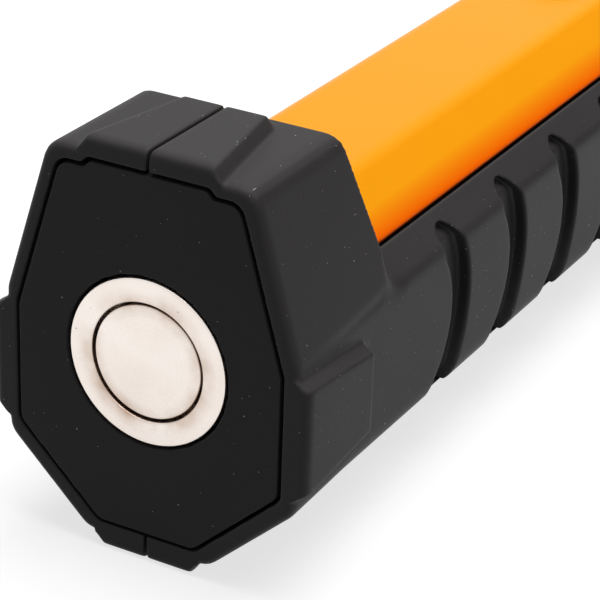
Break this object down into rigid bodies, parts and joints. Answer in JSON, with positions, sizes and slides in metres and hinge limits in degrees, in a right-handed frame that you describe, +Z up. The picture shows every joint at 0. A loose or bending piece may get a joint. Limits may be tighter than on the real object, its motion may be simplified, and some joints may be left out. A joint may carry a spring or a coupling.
{
  "type": "non contact voltage tester",
  "caption": "Hand-held non contact voltage tester with a torch, grooved rubber grip halves, an orange spine, a flat sensing tip and a flush pot magnet in a bumper base.",
  "frame": {"origin": "middle of the magnet's face, at the base end", "axes": "+Y along the tool from the magnet to the sensing tip, +Z up through the orange spine, +X to the right seen from the base"},
  "size_m": [0.0304, 0.17, 0.0376],
  "materials": {
    "grip_rubber": "satin soft-touch rubber",
    "plate_plastic": "fine spark-eroded texture",
    "orange_plastic": "smooth satin gloss",
    "nickel_plate": "ground and nickel plated",
    "black_plastic": "moulded satin",
    "inner_plastic": "moulded",
    "seal_rubber": "matt",
    "cell_wrap": "wrapped in plain film",
    "contact_steel": "nickel plated sheet",
    "screw_steel": "blackened",
    "board_laminate": "solder mask",
    "button_rubber": "moulded silicone",
    "clear_plastic": "frosted clear",
    "lens_clear": "polished clear",
    "tip_plastic": "smooth white",
    "antenna_copper": "bare sheet",
    "led_resin": "cast resin",
    "reflector_metal": "vacuum plated"
  },
  "bodies": {
    "body": {"left_housing": "grip_rubber", "right_housing": "grip_rubber", "spine_cover": "orange_plastic", "base_plate": "plate_plastic", "magnet_cup": "nickel_plate", "magnet_disc": "nickel_plate", "housing_screw_1": "screw_steel", "housing_screw_2": "screw_steel", "housing_screw_3": "screw_steel", "battery_tray": "inner_plastic", "battery_left": "cell_wrap", "battery_right": "cell_wrap", "rear_contact": "contact_steel", "front_contact_left": "contact_steel", "front_contact_right": "contact_steel", "circuit_board": "board_laminate", "buzzer": "black_plastic", "power_switch": "black_plastic", "torch_switch": "black_plastic", "nose_shell": "black_plastic", "nose_seal": "seal_rubber", "probe_tip": "tip_plastic", "light_collar": "clear_plastic", "antenna": "antenna_copper", "indicator_led": "led_resin", "torch_lens": "lens_clear", "torch_reflector": "reflector_metal", "torch_led": "led_resin"},
    "power_button": {"power_button": "button_rubber", "power_plunger": "inner_plastic"},
    "torch_button": {"torch_button": "button_rubber", "torch_plunger": "inner_plastic"},
    "battery_door": {"battery_door": "black_plastic", "door_seal": "seal_rubber", "door_screw_rear": "screw_steel", "door_screw_front": "screw_steel"}
  },
  "joints": [
    {"name": "power_press", "type": "slide", "parent": "body", "child": "power_button", "axis": [0, 0, -1], "range_m": [0, 0.0008], "stiffness_N_per_m": 1200},
    {"name": "torch_press", "type": "slide", "parent": "body", "child": "torch_button", "axis": [0, 0, -1], "range_m": [0, 0.0008], "stiffness_N_per_m": 1200},
    {"name": "battery_door_lift", "type": "slide", "parent": "body", "child": "battery_door", "axis": [0, 0, -1], "range_m": [0, 0.03]}
  ]
}
